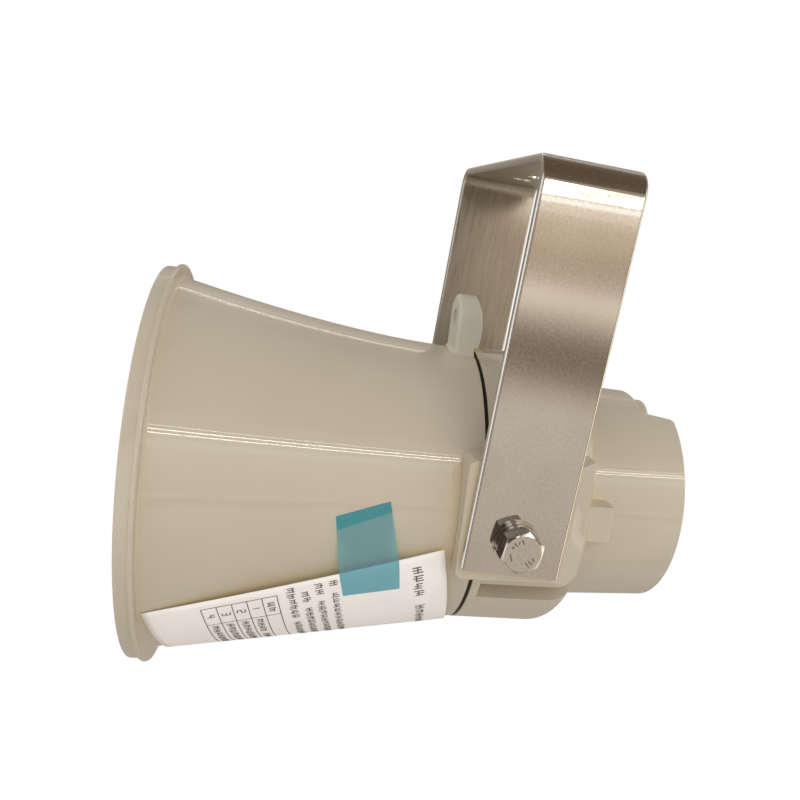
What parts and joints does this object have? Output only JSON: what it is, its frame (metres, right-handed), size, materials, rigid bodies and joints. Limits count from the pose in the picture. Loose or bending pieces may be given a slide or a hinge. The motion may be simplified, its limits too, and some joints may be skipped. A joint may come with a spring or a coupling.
{
  "type": "paging horn speaker",
  "caption": "Small weatherproof re-entrant horn speaker: a flared plastic bell with an inner reflector and a round driver housing, hung by two bolts in a U-shaped steel bracket.",
  "frame": {"origin": "centre of the middle hole in the bracket's web, on the web's outer face, the one that lies on a wall or ceiling", "axes": "+Z out of the web's outer face, away from the horn; the arms hang towards -Z; the mouth looks towards -X, drooping 3.5 degrees at rest; the tilt axis is along Y"},
  "size_m": [0.2031, 0.15, 0.2068],
  "materials": {
    "stainless": "polished outside, brushed along its length inside",
    "bright_steel": "bright, as made",
    "plated_steel": "zinc plated",
    "horn_plastic": "satin, moulded, warm grey",
    "dark_plastic": "moulded, black",
    "seal_rubber": "soft, black",
    "cast_alloy": "die cast",
    "film": "thin amber film",
    "copper": "enamelled copper wire",
    "ferrite": "ground, dark grey",
    "laminations": "stacked sheet iron",
    "winding_tape": "yellow insulating tape",
    "terminal_plastic": "moulded, pale",
    "slip_paper": "plain white office paper",
    "tinted_tape": "blue-green tinted adhesive tape"
  },
  "bodies": {
    "bracket": {"bracket": "stainless"},
    "horn": {"bell": "horn_plastic", "safety_lug": "horn_plastic", "seal_ring": "seal_rubber", "rear_housing": "horn_plastic", "inner_horn": "horn_plastic", "reflector": "horn_plastic", "reflector_screw": "bright_steel", "driver_plate": "cast_alloy", "phase_plug": "dark_plastic", "surround": "film", "surround_ring": "dark_plastic", "top_plate": "plated_steel", "magnet": "ferrite", "back_plate": "plated_steel", "plate_screws": "bright_steel", "driver_screws": "bright_steel", "horn_screws": "bright_steel", "housing_screws": "bright_steel", "pivot_bolts": "bright_steel", "spring_washers": "bright_steel", "plain_washers": "bright_steel", "pivot_nuts": "bright_steel", "transformer_core": "laminations", "transformer_winding": "winding_tape", "transformer_strap": "plated_steel", "strap_screws": "bright_steel", "terminal_block": "terminal_plastic", "cable_gland": "horn_plastic", "gland_nut": "dark_plastic", "notice_sheet": "slip_paper", "tape": "tinted_tape"},
    "diaphragm": {"diaphragm": "film", "voice_coil_former": "film", "voice_coil": "copper"}
  },
  "joints": [
    {"name": "tilt", "type": "hinge", "parent": "bracket", "child": "horn", "pos_m": [0, 0, -0.124], "axis": [0, 1, 0], "range_deg": [-85, 40]},
    {"name": "diaphragm_travel", "type": "slide", "parent": "horn", "child": "diaphragm", "axis": [0.9981, 0, 0.0611], "range_m": [-0.0003, 0.0003], "stiffness_N_per_m": 1500}
  ]
}
